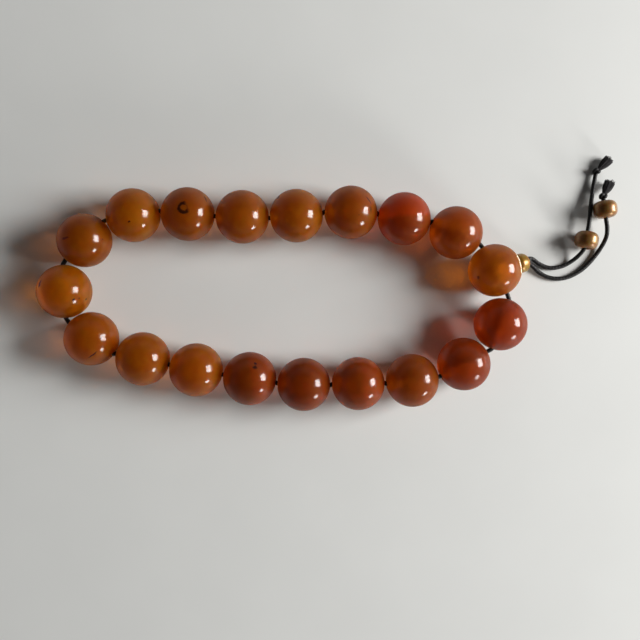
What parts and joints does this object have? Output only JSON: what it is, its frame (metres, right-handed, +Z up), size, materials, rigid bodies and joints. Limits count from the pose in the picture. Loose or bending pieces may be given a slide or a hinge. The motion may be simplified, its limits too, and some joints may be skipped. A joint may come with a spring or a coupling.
{
  "type": "misbaha prayer beads",
  "caption": "Loop of round amber beads and a three-hole guru bead on one black cord, with a small top bead and two knotted tails that each carry a glass bead.",
  "frame": {"origin": "on the table, below the middle of the loop of beads, tails left out", "axes": "+X along the loop's length towards the guru bead and tails, +Y across the loop, +Z up"},
  "size_m": [0.2559, 0.114, 0.023],
  "materials": {
    "amber_honey": "polished translucent honey amber",
    "amber_brown": "polished translucent brown amber",
    "amber_cherry": "polished translucent cherry amber",
    "waxed_cord": "waxed black cord",
    "lustre_glass": "brown glass with a gold lustre"
  },
  "bodies": {
    "guru": {"guru_bead": "amber_honey", "cord_guru_a": "waxed_cord", "cord_guru_b": "waxed_cord", "binding_knot": "waxed_cord"},
    "top_bead": {"top_bead": "lustre_glass"},
    "strand_01": {"cord_01": "waxed_cord"},
    "bead_01": {"bead_01": "amber_cherry"},
    "strand_02": {"cord_02": "waxed_cord"},
    "bead_02": {"bead_02": "amber_cherry"},
    "strand_03": {"cord_03": "waxed_cord"},
    "bead_03": {"bead_03": "amber_brown"},
    "strand_04": {"cord_04": "waxed_cord"},
    "bead_04": {"bead_04": "amber_honey"},
    "strand_05": {"cord_05": "waxed_cord"},
    "bead_05": {"bead_05": "amber_honey"},
    "strand_06": {"cord_06": "waxed_cord"},
    "bead_06": {"bead_06": "amber_brown"},
    "strand_07": {"cord_07": "waxed_cord"},
    "bead_07": {"bead_07": "amber_honey"},
    "strand_08": {"cord_08": "waxed_cord"},
    "bead_08": {"bead_08": "amber_honey"},
    "strand_09": {"cord_09": "waxed_cord"},
    "bead_09": {"bead_09": "amber_honey"},
    "strand_10": {"cord_10": "waxed_cord"},
    "bead_10": {"bead_10": "amber_honey"},
    "strand_11": {"cord_11": "waxed_cord"},
    "bead_11": {"bead_11": "amber_honey"},
    "strand_12": {"cord_12": "waxed_cord"},
    "bead_12": {"bead_12": "amber_honey"},
    "strand_13": {"cord_13": "waxed_cord"},
    "bead_13": {"bead_13": "amber_brown"},
    "strand_14": {"cord_14": "waxed_cord"},
    "bead_14": {"bead_14": "amber_brown"},
    "strand_15": {"cord_15": "waxed_cord"},
    "bead_15": {"bead_15": "amber_brown"},
    "strand_16": {"cord_16": "waxed_cord"},
    "bead_16": {"bead_16": "amber_brown"},
    "strand_17": {"cord_17": "waxed_cord"},
    "bead_17": {"bead_17": "amber_cherry"},
    "strand_18": {"cord_18": "waxed_cord"},
    "bead_18": {"bead_18": "amber_cherry"},
    "tail_a": {"tail_cord_a": "waxed_cord", "end_knot_a": "waxed_cord", "tuft_a": "waxed_cord"},
    "tail_bead_a": {"tail_bead_a": "lustre_glass"},
    "tail_b": {"tail_cord_b": "waxed_cord", "end_knot_b": "waxed_cord", "tuft_b": "waxed_cord"},
    "tail_bead_b": {"tail_bead_b": "lustre_glass"}
  },
  "joints": [
    {"name": "loop_bend_01", "type": "hinge", "parent": "guru", "child": "strand_01", "pos_m": [0.08441, 0.02311, 0.0115], "axis": [0, 0, -1], "range_deg": [0, 9]},
    {"name": "loop_bend_02", "type": "hinge", "parent": "strand_01", "child": "strand_02", "pos_m": [0.06252, 0.03324, 0.0115], "axis": [0, 0, -1], "range_deg": [0, 1.6]},
    {"name": "loop_bend_03", "type": "hinge", "parent": "strand_02", "child": "strand_03", "pos_m": [0.03912, 0.03684, 0.0115], "axis": [0, 0, -1], "range_deg": [-6.4, 0]},
    {"name": "loop_bend_04", "type": "hinge", "parent": "strand_03", "child": "strand_04", "pos_m": [0.01553, 0.03725, 0.0115], "axis": [0, 0, -1], "range_deg": [-9.4, 0]},
    {"name": "loop_bend_05", "type": "hinge", "parent": "strand_04", "child": "strand_05", "pos_m": [-0.00798, 0.03481, 0.0115], "axis": [0, 0, -1], "range_deg": [-9.2, 0]},
    {"name": "loop_bend_06", "type": "hinge", "parent": "strand_05", "child": "strand_06", "pos_m": [-0.03146, 0.03549, 0.0115], "axis": [0, 0, -1], "range_deg": [-9.1, 0]},
    {"name": "loop_bend_07", "type": "hinge", "parent": "strand_06", "child": "strand_07", "pos_m": [-0.05498, 0.03743, 0.0115], "axis": [0, 0, -1], "range_deg": [-1.9, 0]},
    {"name": "loop_bend_08", "type": "hinge", "parent": "strand_07", "child": "strand_08", "pos_m": [-0.07863, 0.03334, 0.0115], "axis": [0, 0, -1], "range_deg": [0, 6.5]},
    {"name": "loop_bend_09", "type": "hinge", "parent": "strand_08", "child": "strand_09", "pos_m": [-0.09606, 0.01543, 0.0115], "axis": [0, 0, -1], "range_deg": [0, 11.9]},
    {"name": "loop_bend_10", "type": "hinge", "parent": "strand_09", "child": "strand_10", "pos_m": [-0.09457, -0.0098, 0.0115], "axis": [0, 0, -1], "range_deg": [0, 12]},
    {"name": "loop_bend_11", "type": "hinge", "parent": "strand_10", "child": "strand_11", "pos_m": [-0.07435, -0.02389, 0.0115], "axis": [0, 0, -1], "range_deg": [0, 5.3]},
    {"name": "loop_bend_12", "type": "hinge", "parent": "strand_11", "child": "strand_12", "pos_m": [-0.05109, -0.02881, 0.0115], "axis": [0, 0, -1], "range_deg": [-2.9, 0]},
    {"name": "loop_bend_13", "type": "hinge", "parent": "strand_12", "child": "strand_13", "pos_m": [-0.02808, -0.03306, 0.0115], "axis": [0, 0, -1], "range_deg": [-8.8, 0]},
    {"name": "loop_bend_18", "type": "hinge", "parent": "guru", "child": "strand_18", "pos_m": [0.09642, 0.00087, 0.0115], "axis": [0, 0, -1], "range_deg": [-11, 0]},
    {"name": "loop_bend_17", "type": "hinge", "parent": "strand_18", "child": "strand_17", "pos_m": [0.08808, -0.02276, 0.0115], "axis": [0, 0, -1], "range_deg": [-10.5, 0]},
    {"name": "loop_bend_16", "type": "hinge", "parent": "strand_17", "child": "strand_16", "pos_m": [0.06611, -0.03418, 0.0115], "axis": [0, 0, -1], "range_deg": [-3.1, 0]},
    {"name": "loop_bend_15", "type": "hinge", "parent": "strand_16", "child": "strand_15", "pos_m": [0.04244, -0.03703, 0.0115], "axis": [0, 0, -1], "range_deg": [0, 4.9]},
    {"name": "loop_bend_14", "type": "hinge", "parent": "strand_15", "child": "strand_14", "pos_m": [0.01875, -0.03762, 0.0115], "axis": [0, 0, -1], "range_deg": [0, 9.1]},
    {"name": "bead_spin_01", "type": "hinge", "parent": "strand_01", "child": "bead_01", "pos_m": [0.0734, 0.0287, 0.0115], "axis": [-0.9052, 0.4249, 0], "continuous": true},
    {"name": "bead_spin_02", "type": "hinge", "parent": "strand_02", "child": "bead_02", "pos_m": [0.0507, 0.0347, 0.0115], "axis": [-0.9876, 0.1569, 0], "continuous": true},
    {"name": "bead_spin_03", "type": "hinge", "parent": "strand_03", "child": "bead_03", "pos_m": [0.0274, 0.0374, 0.0115], "axis": [-0.9998, 0.0188, 0], "continuous": true},
    {"name": "bead_spin_04", "type": "hinge", "parent": "strand_04", "child": "bead_04", "pos_m": [0.0037, 0.0358, 0.0115], "axis": [-0.9955, -0.0947, 0], "continuous": true},
    {"name": "bead_spin_05", "type": "hinge", "parent": "strand_05", "child": "bead_05", "pos_m": [-0.0197, 0.0352, 0.0115], "axis": [-0.9997, 0.0262, 0], "continuous": true},
    {"name": "bead_spin_06", "type": "hinge", "parent": "strand_06", "child": "bead_06", "pos_m": [-0.0432, 0.0363, 0.0115], "axis": [-0.9975, 0.0712, 0], "continuous": true},
    {"name": "bead_spin_07", "type": "hinge", "parent": "strand_07", "child": "bead_07", "pos_m": [-0.0666, 0.0357, 0.0115], "axis": [-0.9841, -0.1776, 0], "continuous": true},
    {"name": "bead_spin_08", "type": "hinge", "parent": "strand_08", "child": "bead_08", "pos_m": [-0.0874, 0.0248, 0.0115], "axis": [-0.6998, -0.7143, 0], "continuous": true},
    {"name": "bead_spin_09", "type": "hinge", "parent": "strand_09", "child": "bead_09", "pos_m": [-0.096, 0.0028, 0.0115], "axis": [0.0593, -0.9982, 0], "continuous": true},
    {"name": "bead_spin_10", "type": "hinge", "parent": "strand_10", "child": "bead_10", "pos_m": [-0.0844, -0.0175, 0.0115], "axis": [0.82, -0.5724, 0], "continuous": true},
    {"name": "bead_spin_11", "type": "hinge", "parent": "strand_11", "child": "bead_11", "pos_m": [-0.0625, -0.0262, 0.0115], "axis": [0.976, -0.2179, 0], "continuous": true},
    {"name": "bead_spin_12", "type": "hinge", "parent": "strand_12", "child": "bead_12", "pos_m": [-0.0396, -0.031, 0.0115], "axis": [0.9833, -0.1819, 0], "continuous": true},
    {"name": "bead_spin_13", "type": "hinge", "parent": "strand_13", "child": "bead_13", "pos_m": [-0.0165, -0.0348, 0.0115], "axis": [0.988, -0.1546, 0], "continuous": true},
    {"name": "bead_spin_14", "type": "hinge", "parent": "strand_14", "child": "bead_14", "pos_m": [0.0069, -0.0374, 0.0115], "axis": [0.9993, -0.0381, 0], "continuous": true},
    {"name": "bead_spin_15", "type": "hinge", "parent": "strand_15", "child": "bead_15", "pos_m": [0.0306, -0.0371, 0.0115], "axis": [0.9997, 0.0261, 0], "continuous": true},
    {"name": "bead_spin_16", "type": "hinge", "parent": "strand_16", "child": "bead_16", "pos_m": [0.0542, -0.0358, 0.0115], "axis": [0.9918, 0.1276, 0], "continuous": true},
    {"name": "bead_spin_17", "type": "hinge", "parent": "strand_17", "child": "bead_17", "pos_m": [0.0768, -0.0287, 0.0115], "axis": [0.8864, 0.4629, 0], "continuous": true},
    {"name": "bead_spin_18", "type": "hinge", "parent": "strand_18", "child": "bead_18", "pos_m": [0.093, -0.0113, 0.0115], "axis": [0.334, 0.9426, 0], "continuous": true},
    {"name": "top_bead_spin", "type": "hinge", "parent": "guru", "child": "top_bead", "pos_m": [0.10389, 0.01589, 0.00457], "axis": [0.864, 0.2315, -0.4471], "continuous": true},
    {"name": "tail_a_swing", "type": "hinge", "parent": "guru", "child": "tail_a", "pos_m": [0.10838, 0.01709, 0.00225], "axis": [0, 0, 1], "range_deg": [0, 30]},
    {"name": "tail_b_swing", "type": "hinge", "parent": "guru", "child": "tail_b", "pos_m": [0.10838, 0.01709, 0.00225], "axis": [0, 0, -1], "range_deg": [0, 40]},
    {"name": "tail_bead_a_slide", "type": "slide", "parent": "tail_a", "child": "tail_bead_a", "axis": [0.1736, 0.9848, 0], "range_m": [0, 0.005]},
    {"name": "tail_bead_b_slide", "type": "slide", "parent": "tail_b", "child": "tail_bead_b", "axis": [0.1219, -0.9925, 0], "range_m": [0, 0.004]}
  ],
  "couplings": [
    {"joint": "loop_bend_02", "follows": "loop_bend_01", "ratio": 0.1752},
    {"joint": "loop_bend_03", "follows": "loop_bend_01", "ratio": -0.703},
    {"joint": "loop_bend_04", "follows": "loop_bend_01", "ratio": -1.0365},
    {"joint": "loop_bend_05", "follows": "loop_bend_01", "ratio": -1.0221},
    {"joint": "loop_bend_06", "follows": "loop_bend_01", "ratio": -1.0095},
    {"joint": "loop_bend_07", "follows": "loop_bend_01", "ratio": -0.2004},
    {"joint": "loop_bend_08", "follows": "loop_bend_01", "ratio": 0.714},
    {"joint": "loop_bend_09", "follows": "loop_bend_01", "ratio": 1.3171},
    {"joint": "loop_bend_10", "follows": "loop_bend_01", "ratio": 1.3295},
    {"joint": "loop_bend_11", "follows": "loop_bend_01", "ratio": 0.5785},
    {"joint": "loop_bend_12", "follows": "loop_bend_01", "ratio": -0.3162},
    {"joint": "loop_bend_13", "follows": "loop_bend_01", "ratio": -0.9767},
    {"joint": "loop_bend_18", "follows": "loop_bend_01", "ratio": -1.2175},
    {"joint": "loop_bend_17", "follows": "loop_bend_01", "ratio": -1.1615},
    {"joint": "loop_bend_16", "follows": "loop_bend_01", "ratio": -0.3444},
    {"joint": "loop_bend_15", "follows": "loop_bend_01", "ratio": 0.5406},
    {"joint": "loop_bend_14", "follows": "loop_bend_01", "ratio": 1.0004}
  ]
}
